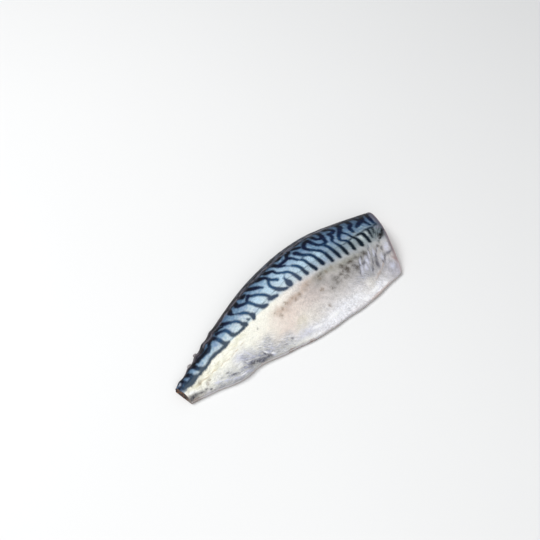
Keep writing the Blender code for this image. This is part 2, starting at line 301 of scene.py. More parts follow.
# Dark marks and small spots, as ovals again. The dented ones are pressed into the skin too.
DENTED_MARKS = (
    (68, 65, 5, 2, 42), (63.5, 61, 5, 1.6, 54), (74.5, 68, 5, 2, 25), (71.5, 62.5, 3.4, 1.2, 66),
    (59, 57.5, 5, 2, 34),
)
DARK_MARKS = DENTED_MARKS + (
    (40, 46, 5, 0.8, 42), (36.5, 39.5, 2, 0.7, 55), (5, 21.8, 6, 1.6, 30), (15.5, 28, 2, 0.7, 52),
    (19, 32.5, 1.5, 0.8, 50), (97.8, 76, 1.4, 0.9, 40), (8, 15.3, 0.8, 2, 0), (2.5, 13, 1.4, 0.9, 40),
    (80.5, 45.5, 0.8, 0.9, 0), (173.5, 60, 1.8, 1.9, 0), (182.5, 59.5, 2.2, 1.5, -10),
    (198.3, 55.6, 2.2, 2.4, 0), (176, 64.6, 2.2, 3, 20), (184.5, 66, 2.4, 1.6, -40),
    (216.9, 48.6, 2.6, 1, -55), (212.8, 52.6, 2.2, 1.1, -42), (214.2, 56.2, 1.6, 0.8, -60),
)

# Creases of the collar, coloured darker as painted shade, raised ridges of the skin coloured pale as painted
# highlights, painted white glints, and the tan ridges of the skin.
SHADED_CREASES = (
    (205.6, 61, 4.6, 0.9, -62), (202, 67.5, 5, 1.4, -68), (211.5, 63.5, 5.6, 0.8, -52),
    (217.5, 59.5, 4.6, 1.2, -22), (203.4, 54, 3.6, 0.7, -68), (207.6, 66.5, 2.2, 0.7, -70),
    (187, 66, 3, 0.7, -50), (192, 64.5, 3.4, 0.9, -38), (198, 61, 3.2, 0.7, -66), (195, 71, 4.2, 0.6, -60),
    (209, 56, 2.6, 0.7, -55), (214.5, 54.5, 2.2, 0.7, -50), (189, 63, 2.6, 0.6, -62),
    (193.5, 59.5, 2.2, 0.6, -60), (184, 71, 3, 0.6, -52), (199.5, 65.5, 3.6, 0.6, -66),
    (206, 51, 2.4, 0.6, -66),
)
# Painted highlights on raised ridges of the skin.
SHEEN_RIDGES = (
    (219.2, 54, 5.4, 2.4, -54), (196, 63.5, 5.4, 1.2, -64), (187, 69, 5, 1.1, -56),
    (191, 68.4, 3.8, 1.5, -60), (206, 57.2, 4, 0.9, -66), (209.4, 62.4, 3.2, 1.2, -66),
    (212, 72, 2.6, 1.8, -50), (190, 62.5, 3, 0.7, -64), (201, 58, 3.6, 0.7, -66), (73.6, 64, 3.6, 0.7, 58),
    (77.6, 70.4, 2.2, 1.2, 50), (79, 66.6, 3, 0.6, 62), (76, 66.4, 1.8, 0.6, -10), (60.5, 50, 5, 0.6, 72),
    (47, 55, 4.6, 1.1, 38), (54, 59.5, 4, 1.1, 38), (26, 35, 4, 0.8, 50), (33, 42, 4, 0.7, 46),
    (40, 50, 5, 0.8, 42),
)
# Painted white glints.
PAINTED_GLINTS = (
    (195.8, 86.6, 3, 1.8, -25), (172.5, 93.5, 3.6, 1.8, -5), (184, 89, 5, 1.4, -25), (140, 90, 7, 2, 4),
    (122, 87, 6, 1.4, 24), (72.4, 62.4, 3.2, 0.6, 64), (77.4, 69, 2.8, 0.65, 42), (46.5, 54, 4.2, 0.5, 40),
)
TAN_RIDGES = ((204.5, 70.2, 6.5, 0.6, -46), (196, 76.8, 7, 0.65, -36))

# Where bare flesh shows at the belly edge: along, half length, share.
BARE_EDGES = (
    (5, 4.5, 1.1), (71, 9, 0.4), (92, 3, 0.65), (110.5, 3, 0.6), (131, 12, 0.3), (184, 9, 0.7),
    (198, 6, 0.4),
)

# Fineness of the fillet's mesh.
RINGS = 372
COLUMNS = 122
CUT_LAYERS = 6
RINGS_CROWDED_AT_ENDS = 0.25
COLUMNS_CROWDED_AT_EDGES = 0.45

# Marks of the skin: name, ovals, sharpness of their edges, and how far the skin rises in mm. The crease
# marks carry painted shade, and the pale ridges and glints carry painted highlights.
MARKS = (
    ("blotch", BLOTCHES, 1.5, 0),
    ("dark", DARK_MARKS, 1.3, 0),
    ("crease_shade", SHADED_CREASES, 1.2, -0.35),
    ("sheen_ridges", SHEEN_RIDGES, 1.3, 0.25),
    ("tan", TAN_RIDGES, 1.3, 0.3),
    ("painted_glints", PAINTED_GLINTS, 1.3, 0.3),
)

# Wrinkles of the collar and the belly: ovals, angle, length, width and seed of the streaks, and rise.
WRINKLES = (
    (((204, 62, 22, 15, -60),), (-63, 8, 1.6, 21), 0.22),
    (((58, 59, 40, 8, 33), (150, 88, 50, 8, -4)), (40, 7, 1.5, 23), 0.2),
)

# Fine relief, in mm: muscle segments run in zigzags, and the cuts are uneven and a little sunk.
DENT_DEPTH = 0.2
LATERAL_LINE_RISE = 0.08
SKIN_GRAIN = 0.06
SEGMENT_LENGTH = 6.2
SEGMENT_ZIGZAG = (17, 13, 2.2)
SEGMENT_RIDGE = 0.16
RIB_SPACING = 6.5
RIB_SLANT = 22
RIB_RIDGE = 0.18
RIBS_BEGIN, RIBS_END = (0.58, 0.66), (0.93, 0.86)
EDGE_UNEVEN, EDGE_SUNK = 0.25, 0.2
END_UNEVEN, END_SUNK = 0.35, 0.25
SHARP_ANGLE = 50

# Random moves of the skin's features, in mm: (reach, lump size).
LARGE_MOVES = ((2.2, 8), (0.8, 2.6))
SMALL_MOVES = ((0.5, 1.7),)
TORN_MOVES = ((1.1, 1.5),)

# What is the same all over each surface, in the order of the shader's inputs.
SHINE_INPUTS = (
    "Coat Weight", "Coat Roughness", "Specular IOR Level", "Subsurface Weight", "Subsurface Radius",
)
SKIN_SHINE = (0.04, 0.12, 0.1, 0.04, (0.002, 0.0015, 0.001))
FLESH_SHINE = (0.2, 0.2, 0.5, 0.15, (0.006, 0.003, 0.002))
CUT_SHINE = (0.1, 0.03, 0.5, 0.1, (0.004, 0.002, 0.0015))
HEAD_CUT_SHINE = (0.2, 0.03, 0.5, 0.15, (0.005, 0.003, 0.002))
TAIL_CUT_SHINE = (0, 0.03, 0.3)

# How bright a white surface looks on the fillet, what its wet coat adds, and the least share of a
# dark colour that is kept.
SCENE_LIGHT = 1.25
SCENE_GLOSS = 0.006
DARKEST_SHARE = 0.3

# Studio: name, place in metres, size and watts of each softbox, then the sky and the floor.
SOFTBOXES = (("key", (-0.35, 0.55, 1.25), 0.9, 19), ("fill", (-0.6, -0.9, 0.9), 1.2, 8.5))
SKY_COLOUR = (0.92, 0.95, 1.0, 1)
SKY_STRENGTH = 0.35
FLOOR_HALF = 3.0
FLOOR_GAP = 0.0002
FLOOR_ROUGHNESS = 0.85

# Camera as the photograph's, over the fillet's own axes: mm and degrees.
CAMERA_LENS = 85
CAMERA_SENSOR = 36
CAMERA_AZIMUTH = -43.94
CAMERA_ELEVATION = 50
CAMERA_DISTANCE = 1075.5
CAMERA_AIM = (138.6, 46.9)


def curve(points, at):
    """Smooth curve through (place, value) points."""
    xs, ys = np.array(points, float).T
    last = len(xs) - 1
    i = np.clip(np.searchsorted(xs, at) - 1, 0, last - 1)
    before = np.maximum(i - 1, 0)
    after = np.minimum(i + 2, last)
    slope0 = (ys[i + 1] - ys[before]) / (xs[i + 1] - xs[before])
    slope1 = (ys[after] - ys[i]) / (xs[after] - xs[i])
    span = xs[i + 1] - xs[i]
    t = (at - xs[i]) / span
    start = (2 * t**3 - 3 * t**2 + 1) * ys[i] + (t**3 - 2 * t**2 + t) * span * slope0
    end = (3 * t**2 - 2 * t**3) * ys[i + 1] + (t**3 - t**2) * span * slope1
    return start + end


def ramp(low, high, value):
    """0 below low and 1 above high, with a smooth rise between them."""
    t = np.clip((value - low) / (high - low), 0.0, 1.0)
    return t * t * (3 - 2 * t)


def inner(share, margin, last_margin=None):
    """1 well inside of a share and 0 at both of its ends."""
    return ramp(0, margin, share) * ramp(0, last_margin or margin, 1 - share)


def bell(distance, width):
    return np.exp(-((distance / width) ** 2))


def grain(a, b, seed):
    """Smooth random field between -1 and 1 whose lumps are one unit wide."""
    lattice = np.random.default_rng(seed).uniform(-1, 1, (257, 257))
    i, j = np.floor(a).astype(int), np.floor(b).astype(int)
    u, v = a - i, b - j
    u, v = u * u * (3 - 2 * u), v * v * (3 - 2 * v)
    i, j = i % 256, j % 256
    near = lattice[i, j] * (1 - u) + lattice[i + 1, j] * u
    far = lattice[i, j + 1] * (1 - u) + lattice[i + 1, j + 1] * u
    return near * (1 - v) + far * v


def turned(a, b, degrees):
    """Coordinates along and across a run that is tilted by an angle."""
    c, s = math.cos(math.radians(degrees)), math.sin(math.radians(degrees))
    return a * c + b * s, b * c - a * s


def streaks(along, down, degrees, long, short, seed):
    """Random streaks of a length and a width, in mm, that run at an angle."""
    a, b = turned(along, down, degrees)
    coarse = grain(a / long, b / short, seed)
    return 0.65 * coarse + 0.35 * grain(a / long * 2.1, b / short * 2.1, seed + 1)


def patches(along, down, shapes, power=1.0):
    """Strength of the strongest of several soft ovals."""
    total = np.zeros_like(along)
    for at, below, half_long, half_short, tilt in shapes:
        a, b = turned(along - at, down - below, tilt)
        total = np.maximum(total, np.exp(-(((a / half_long) ** 2 + (b / half_short) ** 2) ** power)))
    return total


def back_edge(along):
    stubs = sum(bell(along - at, STUB_LENGTH) for at in STUBS)
    return curve(BACK_EDGE, along) + STUB_REACH * stubs


def belly_edge(along):
    long_wave, short_wave = BELLY_WAVE_LENGTHS
    wave = np.sin(along / long_wave) + 0.6 * np.sin(along / short_wave + 1.0)
    return curve(BELLY_EDGE, along) + 0.5 * BELLY_WAVE * wave


def aside_of(along, across):
    return back_edge(along) * (1 - across) + belly_edge(along) * across


def cut_shift(across, share):
    head = -HEAD_CUT_SLANT * across + HEAD_CUT_BOW * np.sin(np.pi * across)
    head = head - CORNER_ROUNDING * (2 * across - 1) ** CORNER_SHARPNESS
    tail = TAIL_CUT_SLANT * (across - 0.5)
    return head * share + tail * (1 - share)


def fold_relief(along, aside):
    height = np.zeros_like(along)
    for (a0, b0), (a1, b1), half_width, rise in SKIN_FOLDS:
        run = np.array((a1 - a0, b1 - b0), float)
        share = np.clip(((along - a0) * run[0] + (aside - b0) * run[1]) / run.dot(run), 0, 1)
        gap = np.hypot(along - a0 - share * run[0], aside - b0 - share * run[1])
        height += rise * bell(gap, half_width)
    return height


def skin_height(along, across):
    crest = curve(CREST_HEIGHT, along)
    place = curve(CREST_PLACE, along)
    on_back = across < place
    out_back = np.clip(1 - across / place, 0, 1)
    back = (1 - out_back**BACK_ROUND) ** (1 / BACK_ROUND)
    out_belly = np.clip((across - place) / (1 - place), 0, 1)
    rounded = (1 - out_belly**TAIL_ROUND) ** (1 / TAIL_ROUND)
    draped = (1 - out_belly**FLAP_BEND) ** FLAP_FADE
    belly = rounded + (draped - rounded) * ramp(*FLAP_REACH, along)
    share = np.where(on_back, back, belly)
    edge = np.where(on_back, curve(BACK_THICKNESS, along), curve(BELLY_THICKNESS, along))
    short_wave, long_wave = SKIN_WAVE_LENGTHS
    wave = np.sin(along / short_wave + 5 * across) * np.sin(along / long_wave + 9 * across + 1)
    relief = SKIN_WAVE_HEIGHT * wave + fold_relief(along, aside_of(along, across))
    return edge + (crest - edge) * share + np.sin(np.pi * across) * relief


def flesh_height(along, across):
    width = back_edge(along) - belly_edge(along)
    groove = SPINE_GROOVE_DEPTH * bell((across - SPINE_PLACE) * width, SPINE_GROOVE_WIDTH)
    groove = groove * ramp(*SPINE_GROOVE_REACH, along)
    ribs = RIB_HOLLOW_DEPTH * bell(across - RIB_HOLLOW_PLACE, RIB_HOLLOW_WIDTH)
    ribs = ribs * ramp(*RIB_HOLLOW_REACH, along)
    return np.maximum(inner(across, EDGE_OF_FLAT) * (groove + ribs) - FLAT_BELOW, 0)


def spaced(count, crowding):
    even = np.linspace(0, 1, count + 1)
    return even - crowding * np.sin(2 * np.pi * even) / (2 * np.pi)


def stroke_samples(stroke):
    """Closely set (along, down, half thickness) on the smooth path through a stroke's points."""
    points = np.array(stroke, float)
    steps = np.hypot(*np.diff(points[:, :2], axis=0).T)
    place = np.concatenate(([0], np.cumsum(steps)))
    at = np.linspace(0, place[-1], max(int(place[-1] / BAR_STEP), 2))
    lines = [curve(list(zip(place, points[:, k])), at) for k in range(3)]
    lines[2] = np.maximum(lines[2], -0.5) / 2
    return np.stack(lines, -1)


def bars_field(along, down):
    """Signed distance to the nearest dark bar, in mm and below 0 inside, with soft joins."""
    total = np.zeros_like(along)
    for stroke in BARS:
        samples = stroke_samples(stroke)
        low, high = samples[:, :2].min(0) - BAR_MARGIN, samples[:, :2].max(0) + BAR_MARGIN
        near = (along > low[0]) & (along < high[0]) & (down > low[1]) & (down < high[1])
        if not near.any():
            continue
        a, b = along[near][:, None], down[near][:, None]
        gap = (np.hypot(a - samples[:, 0], b - samples[:, 1]) - samples[:, 2]).min(1)
        total[near] += np.exp(-gap / BAR_BLEND)
    return np.clip(-BAR_BLEND * np.log(np.maximum(total, 1e-6)) - BAR_SPREAD, -BAR_FAR, BAR_FAR)


def line_field(along, down, points, width):
    """Strength of a thin line that follows (along, down) points."""
    starts = ramp(*LINE_START, along - points[0][0])
    ends = ramp(*LINE_END, along - points[-1][0])
    return starts * ends * bell(down - curve(points, along), width)


def normals_of(grid):
    run = np.gradient(grid, axis=0)
    side = np.gradient(grid, axis=1)
    normal = np.cross(side, run)
    return normal / np.maximum(np.linalg.norm(normal, axis=2, keepdims=True), 1e-9)


def fine_skin_relief(along, down):
    """Creases of the collar, wrinkles of the belly and the raised lateral line, in mm."""
    relief = -DENT_DEPTH * patches(along, down, DENTED_MARKS)
    for ovals, run, rise in WRINKLES:
        relief += rise * patches(along, down, ovals) * streaks(along, down, *run)
    for _, ovals, _, rise in MARKS:
        relief += rise * patches(along, down, ovals)
    relief += LATERAL_LINE_RISE * line_field(along, down, LATERAL_LINE, LATERAL_RELIEF_WIDTH)
    return relief + SKIN_GRAIN * grain(along / 2.3, down / 2.3, 25)


def flesh_relief(along, across):
    """Ridges of the muscle segments and the marks of the ribs, in mm."""
    phase = segment_phase(along, across)
    ridges = SEGMENT_RIDGE * np.abs(np.sin(np.pi * phase))
    ribs = RIB_RIDGE * ramp(*RIBS_BEGIN, across) * ramp(*RIBS_END, across)
    ribs = ribs * ramp(*RIB_HOLLOW_REACH, along)
    ribs = ribs * (0.5 + 0.5 * np.sin(2 * np.pi * (along + RIB_SLANT * across) / RIB_SPACING))
    return ridges * inner(across, 0.08) + ribs


def segment_phase(along, across):
    """Counts the muscle segments along the fillet: their edges are zigzags that point to the head."""
    away = np.abs(across - SPINE_PLACE) * 2
    forward, back, power = SEGMENT_ZIGZAG
    zigzag = forward * away - back * away**power
    return (along - zigzag) / SEGMENT_LENGTH + 0.12 * grain(along / 9, across * 8, 31)


def body_points():
    """Places of the closed body on a box-shaped lattice, with what the materials need at each."""
    shares = spaced(RINGS, RINGS_CROWDED_AT_ENDS)
    acrosses = spaced(COLUMNS, COLUMNS_CROWDED_AT_EDGES)
    share, across = np.meshgrid(shares, acrosses, indexing="ij")
    along = share * LENGTH + cut_shift(across, share)
    aside = aside_of(along, across)
    skin = np.stack((along, aside, skin_height(along, across)), -1)
    steps = np.linalg.norm(np.diff(skin, axis=1), axis=2)
    down = np.concatenate((np.zeros((RINGS + 1, 1)), np.cumsum(steps, axis=1)), axis=1)
    keep_edges = inner(across, 0.03, 0.02) * inner(share, 0.01)
    skin += normals_of(skin) * (keep_edges * fine_skin_relief(along, down))[..., None]
    inside = inner(across, EDGE_OF_FLAT) * inner(share, 0.02)
    flesh_z = flesh_height(along, across) + inside * flesh_relief(along, across)
    flesh = np.stack((along, aside, flesh_z), -1)
    return share, across, along, down, skin, flesh


def build_fillet():
    share, across, along, down, skin, flesh = body_points()
    shell = np.zeros((RINGS + 1, COLUMNS + 1, CUT_LAYERS + 1), bool)
    shell[[0, -1]] = True
    shell[:, [0, -1]] = True
    shell[:, :, [0, -1]] = True
    number = np.full(shell.shape, -1)
    number[shell] = np.arange(shell.sum())
    deep = np.linspace(0, 1, CUT_LAYERS + 1)
    lattice = skin[:, :, None] * (1 - deep[:, None]) + flesh[:, :, None] * deep[:, None]
    lattice = roughen_cuts(lattice, along, deep)
    points = lattice[shell]

    def spread(field):
        return np.repeat(field[:, :, None], CUT_LAYERS + 1, axis=2)[shell]

    depth = np.broadcast_to(deep, shell.shape)[shell]
    faces, kinds = [], []
    for grid, kind, flip in (
        (number[:, :, 0], 0, False), (number[:, :, -1], 1, True), (number[:, 0], 2, True),
        (number[:, -1], 2, False), (number[0], 3, False), (number[-1], 4, True),
    ):
        corners = (grid[:-1, :-1], grid[:-1, 1:], grid[1:, 1:], grid[1:, :-1])
        quads = np.stack(corners, -1).reshape(-1, 4)
        faces.append(quads[:, ::-1] if flip else quads)
        kinds.append(np.full(len(quads), kind))
    faces, kinds = np.concatenate(faces), np.concatenate(kinds)

    low, high = CAD_BOX
    middle = (points.min(0) + points.max(0)) / 2
    shift = np.array(((low[0] + high[0]) / 2, (low[1] + high[1]) / 2, low[2]))
    shift = shift - np.array((middle[0], middle[1], 0)) * MM
    fillet = add_piece("mackerel_fillet", (points * MM + shift).tolist(), faces.tolist())
    mesh = fillet.data
    mesh.polygons.foreach_set("material_index", kinds.astype(np.int32))
    mesh.set_sharp_from_angle(angle=math.radians(SHARP_ANGLE))

    a, d, c = spread(along), spread(down), spread(across)
    fields = skin_fields(a, d)
    fields["skin_place"] = np.stack((a, d, np.zeros_like(a)), -1)
    fields["cut_place"] = np.stack((a, c, depth), -1)
    fields["to_belly"] = spread(down[:, -1:] - down)
    fields["to_head"] = spread((1 - share) * LENGTH)
    fields["segments"] = segment_phase(a, c)
    for name, values in fields.items():
        add_field(mesh, name, values)
    return fillet, shift


def roughen_cuts(lattice, along, deep):
    """Small unevenness of the cut faces, none on the skin's own edge."""
    body = np.sin(np.pi * deep)[None, :]
    for column, outward in ((0, 1), (-1, -1)):
        at = along[:, column][:, None] + 0 * body
        uneven = EDGE_UNEVEN * grain(at / 2.1, 4 * deep + 0 * at, 41) - EDGE_SUNK
        lattice[:, column, :, 1] += outward * body * uneven
    for ring, outward in ((0, -1), (-1, 1)):
        _, side, high = np.moveaxis(lattice[ring], -1, 0)
        uneven = END_UNEVEN * grain(side / 2.4 + 40, high / 2, 43) - END_SUNK
        lattice[ring, :, :, 0] += outward * body * uneven
    return lattice


def build_finlets(shift):
    """Small torn finlets that stand out of the back edge near the tail."""
    turns, rows = FINLET_FINENESS
    angles = np.linspace(0, 2 * np.pi, turns, endpoint=False)
    around, up = np.meshgrid(angles, np.linspace(0, np.pi, rows + 1)[1:-1])
    last, top, bottom = (rows - 2) * turns, (rows - 1) * turns, (rows - 1) * turns + 1
    pairs = [(k, (k + 1) % turns) for k in range(turns)]
    faces = [(r + k, r + turns + k, r + turns + n, r + n) for r in range(0, last, turns) for k, n in pairs]
    for k, n in pairs:
        faces += [(top, k, n), (bottom, last + n, last + k)]
    made = []
    for number, (at, half_long, reach, tilt) in enumerate(FINLETS):
        x = half_long * np.sin(up) * np.cos(around)
        y = reach * np.sin(up) * np.sin(around)
        ragged = 1 + FINLET_RAGGED * grain(3 * np.cos(around) + 9, 3 * np.sin(around) + 5 + up, 71 + number)
        a, b = turned(x * ragged, y * ragged, -tilt)
        z = 0.5 * FINLET_THICKNESS * np.cos(up) + FINLET_HEIGHT
        edge = float(back_edge(np.array(float(at))))
        points = np.stack((at + a, edge + 0.5 * reach + b, z), -1).reshape(-1, 3)
        ring = [(at, edge + 0.5 * reach, FINLET_HEIGHT + side * 0.5 * FINLET_THICKNESS) for side in (1, -1)]
        points = np.concatenate((points, ring)) * MM + shift
        made.append(add_piece("finlet_%d" % (number + 1), points.tolist(), faces))
    return made


def moved(along, down, seed, moves):
    """Places shifted at random, first along and then down."""
    places = []
    for place in (along, down):
        for reach, size in moves:
            place = place + reach * grain(along / size, down / size, seed)
            seed += 1
        places.append(place)
    return places


def skin_fields(along, down):
    """Strength of each feature of the skin, at its place on the skin."""
    border = curve(BACK_ZONE_END, along)
    fade = curve(BACK_ZONE_FADE, along)
    spots = [(at, below, size, size, 0) for at, below, size in BROWN_SPOTS]
    far = moved(along, down, 61, LARGE_MOVES)
    near = moved(along, down, 65, SMALL_MOVES)
    torn = moved(along, down, 67, TORN_MOVES)
    fields = {name: patches(*far, ovals) for name, _, _, _, ovals in WASHES}
    for name, _, _, _, ovals in BACK_WASHES + TAIL_WASHES:
        fields[name] = patches(*near, ovals)
    for name, ovals, sharpness, _ in MARKS:
        fields[name] = patches(*near, ovals, sharpness)
    fields.update({
        "bars": bars_field(along, down),
        "back": ramp(fade, -fade, down - border),
        "rise": np.clip((border - down) / border, -1, 1),
        "ridge": down - curve(RIDGE_END, along),
        "ridge_sheen": line_field(along, down, RIDGE_SHEEN, RIDGE_SHEEN_WIDTH),
        "spots": patches(*torn, spots),
        "lateral": line_field(along, down, LATERAL_LINE, LATERAL_LINE_WIDTH),
        "flank_line": line_field(along, down, FLANK_LINE, FLANK_LINE_WIDTH),
        "bare": sum(share * bell(along - at, half) for at, half, share in BARE_EDGES),
    })
    return fields


def add_field(mesh, name, values):
    kind, slot = ("FLOAT_VECTOR", "vector") if values.ndim == 2 else ("FLOAT", "value")
    data = mesh.attributes.new(name, kind, "POINT").data
    data.foreach_set(slot, np.ascontiguousarray(values, np.float32).ravel())


def linear(code):
    """Linear colour of a #rrggbb code."""
    parts = [int(code[k : k + 2], 16) / 255 for k in (1, 3, 5)]
    return [v / 12.92 if v <= 0.04045 else ((v + 0.055) / 1.055) ** 2.4 for v in parts]


def seen(code):
    """Base colour that looks like a #rrggbb code under the scene's lights."""
    return tuple(max((v - SCENE_GLOSS) / SCENE_LIGHT, DARKEST_SHARE * v) for v in linear(code)) + (1.0,)


class Graph:
    """A material's nodes, added and linked in one call each, over one place: a field or the object's.

    Every input may be a socket or a constant. A #rrggbb code is a colour as seen, and any other text
    is the name of a field of the mesh.
    """

    def __init__(self, name, place=None):
        self.material = bpy.data.materials.new(name)
        self.material.use_nodes = True
        self.tree = self.material.node_tree
        self.shader = self.tree.nodes["Principled BSDF"]
        self.place = self.field(place, "Vector") if place else self.node("TexCoord").outputs["Object"]

    def feed(self, socket, value):
        if isinstance(value, str):
            value = seen(value) if value.startswith("#") else self.field(value)
        if isinstance(value, bpy.types.NodeSocket):
            self.tree.links.new(value, socket)
        else:
            socket.default_value = value

    def node(self, kind, inputs=(), **settings):
        made = self.tree.nodes.new("ShaderNode" + kind)
        for name, value in settings.items():
            setattr(made, name, value)
        for name, value in dict(inputs).items():
            self.feed(made.inputs[name], value)
        return made

    def field(self, name, output="Fac"):
        return self.node("Attribute", attribute_name=name).outputs[output]

    def parts(self):
        return tuple(self.node("SeparateXYZ", {"Vector": self.place}).outputs)

    def mapped(self, scale, degrees=0.0, kind="POINT"):
        """The graph's place, turned and scaled."""
        inputs = {"Vector": self.place, "Rotation": (0, 0, math.radians(degrees)), "Scale": scale}
        return self.node("Mapping", inputs, vector_type=kind).outputs["Vector"]

    def noise(self, size, detail=3.0, rough=0.55, place=None):
        """Noise between about 0 and 1 whose lumps have a size in the place's own units."""
        place = place or self.place
        inputs = {"Vector": place, "Scale": 1 / size, "Detail": detail, "Roughness": rough}
        return self.node("TexNoise", inputs).outputs["Fac"]

    def streaks(self, degrees, long, short, detail=3.0):
        """Noise of streaks with a length and a width in mm that run at an angle."""
        return self.noise(1, detail, place=self.mapped((long, short, 1), degrees, "TEXTURE"))

    def maths(self, operation, a, b=0.0, c=0.0):
        made = self.node("Math", operation=operation)
        for socket, value in zip(made.inputs, (a, b, c)):
            self.feed(socket, value)
        return made.outputs[0]

    def chain(self, operation, values):
        total = values[0]
        for value in values[1:]:
            total = self.maths(operation, total, value)
        return total

    def times(self, *values):
        return self.chain("MULTIPLY", values)

    def plus(self, *values):
        return self.chain("ADD", values)

    def most(self, *values):
        return self.chain("MAXIMUM", values)

    def scaled(self, value, by, onto):
        return self.maths("MULTIPLY_ADD", value, by, onto)

    def swing(self, noise, by, onto=0.0):
        """Noise as a swing about zero, scaled and laid onto a value."""
        return self.scaled(self.maths("SUBTRACT", noise, 0.5), by, onto)

    def off(self, value, middle):
        """How far a value is from a middle one."""
        return self.maths("ABSOLUTE", self.maths("SUBTRACT", value, middle))

    def ramp(self, value, low, high, bottom=0.0, top=1.0):
        inputs = {"Value": value, "From Min": low, "From Max": high, "To Min": bottom, "To Max": top}
        return self.node("MapRange", inputs, interpolation_type="SMOOTHSTEP").outputs["Result"]

    def mix(self, a, b, factor, blend="MIX"):
        made = self.node("Mix", data_type="RGBA", blend_type=blend)
        self.feed(made.inputs["Factor"], factor)
        self.feed(made.inputs[6], a)
        self.feed(made.inputs[7], b)
        return made.outputs[2]

    def lay(self, colour, *layers):
        """The colour under layers: each is another colour and the covers whose product it has."""
        for over, *covers in layers:
            colour = self.mix(colour, over, self.times(*covers))
        return colour

    def graded(self, value, colour, *steps):
        """Colours that follow one another along a value: each step is (from, to, next colour)."""
        for low, high, after in steps:
            colour = self.mix(colour, after, self.ramp(value, low, high))
        return colour

    def finish(self, colour, wet, roughness, relief, shine=()):
        """The material with its colour, roughness range, bump and what is the same all over it."""
        height, distance, strength = relief
        bump = self.node("Bump", {"Height": height, "Distance": distance, "Strength": strength})
        self.feed(self.shader.inputs["Base Color"], colour)
        self.feed(self.shader.inputs["Roughness"], self.ramp(wet, 0.3, 0.7, *roughness))
        self.feed(self.shader.inputs["Normal"], bump.outputs["Normal"])
        for name, value in zip(SHINE_INPUTS, shine):
            self.shader.inputs[name].default_value = value
        return self.material


def washed(g, colour, washes, speck, run_of):
    """The colour under its washes, each broken by speckle and, where it has one, by its streaks."""
    for name, code, strength, broken, _ in washes:
        cover = g.ramp(speck, 0.35, 0.65, strength * (1 - broken), strength)
        if name in run_of:
            cover = g.times(cover, g.ramp(run_of[name], 0.38, 0.6, 0.35, 1))
        colour = g.lay(colour, (code, name, cover))
    return colour


def flank_colour(g, along):
    """Cream under the bars, beige and grey towards the head, white on the belly, under its washes, with
    painted light and shade on its folds and creases and painted glints.
    """
    cloud = g.noise(7, 4)
    speck = g.noise(1.5, 4, 0.65)
    broad = g.noise(4.2, 4, 0.65)
    belly = g.streaks(40, 8, 1.5)
    collar = g.streaks(-60, 8, 1.3)
    colour = g.mix("#f6f5e9", "#d6d1ce", g.ramp(g.scaled(cloud, 26, along), 108, 158))
    run_of = dict.fromkeys(("lilac", "slate", "silver", "ochre"), belly)
    run_of.update(collar=collar, smudge=g.noise(2.8, 3, 0.6))
    colour = washed(g, colour, WASHES + TAIL_WASHES, speck, run_of)

    folds = g.most("lilac", "slate", "silver")
    # Painted shade in the creases of the belly's folds.
    fold_crease_shade = g.ramp(g.off(g.streaks(44, 9, 1.2), 0.5), 0.05, 0)
    colour = g.lay(colour, ("#7f8190", folds, fold_crease_shade, 0.7))
    # Painted light and shade of the wrinkles on the belly folds, the collar and the white belly, laid over
    # the skin's random grain.
    shade = g.plus(
        g.times(folds, g.swing(belly, 3.2)),
        g.times(g.most("collar", g.times("front", 0.4)), g.swing(collar, 3.2)),
        flank_swing(g, along, g.plus(speck, broad)),
        g.times("white", g.swing(g.streaks(84, 16, 3), 0.7)),
    )
    colour = g.mix(colour, g.most(g.plus(shade, 1), 0.3), 1, "MULTIPLY")

    mark = g.graded(along, "#4b4a52", (110, 150, "#4d453e"))
    grit = g.ramp(g.noise(0.9, 2), 0.62, 0.72, 0, 0.45)
    colour = g.lay(
        colour,
        # Painted highlights on the crests of the collar's wrinkles.
        ("#ccd0de", "collar", g.ramp(collar, 0.45, 0.33), 0.85),
        # Painted highlights on the crests of the belly's folds.
        ("#eeeef3", folds, g.ramp(belly, 0.44, 0.32), 0.8),
        ("#bdafa6", "tan", 0.75),
        ("#bca88b", "flank_line", g.ramp(broad, 0.44, 0.56, 0, 0.65)),
        ("#857563", "spots", g.ramp(speck, 0.36, 0.6, 0.3, 0.9)),
        (mark, "dark", g.ramp(speck, 0.3, 0.6, 0.35, 0.9)),
        # Painted shade in the collar's creases.
        ("#5f5e66", "crease_shade", g.ramp(speck, 0.25, 0.6, 0.6, 0.95)),
        # Painted highlights on the skin's raised ridges.
        ("#d6d8e8", "sheen_ridges", g.ramp(speck, 0.3, 0.55, 0.4, 0.85)),
        # Painted white glints.
        ("#ffffff", "painted_glints", 0.9),
        ("#8b8b8d", grit, g.ramp(cloud, 0.42, 0.62)),
    )
    return belly_margin(g, colour, along, speck)


def flank_swing(g, along, speckle):
    """Light and dark of the skin's grain: calmer on the pale flank, streaked at the tail."""
    calm = g.times(g.ramp(along, 24, 44), g.ramp(along, 130, 96))
    swing = g.times(g.scaled(speckle, 0.8, -0.8), g.scaled(calm, -0.45, 1))
    fine = g.swing(g.noise(0.8, 2, 0.7), 0.5)
    grained = g.times(g.swing(g.streaks(30, 7, 1.5), 0.6), g.ramp(along, 90, 40))
    return g.plus(swing, fine, grained)


def belly_margin(g, colour, along, speck):
    """The thin skin at the belly edge: greyer, partly as thin skin and partly as painted shade where it
    curves down to the edge, and torn off the flesh in places.
    """
    tear = g.scaled(g.noise(2.4, 4, 0.7), 4, "to_belly")
    return g.lay(
        colour,
        # Greyer edge: thin skin and painted shade where the skin curves down.
        ("#9b999b", g.ramp(g.scaled(speck, 1.6, "to_belly"), 2.7, 1, 0, 0.35)),
        (bare_flesh(g, along, speck), g.ramp(g.scaled("bare", -2.4, tear), 2, 1.2)),
    )


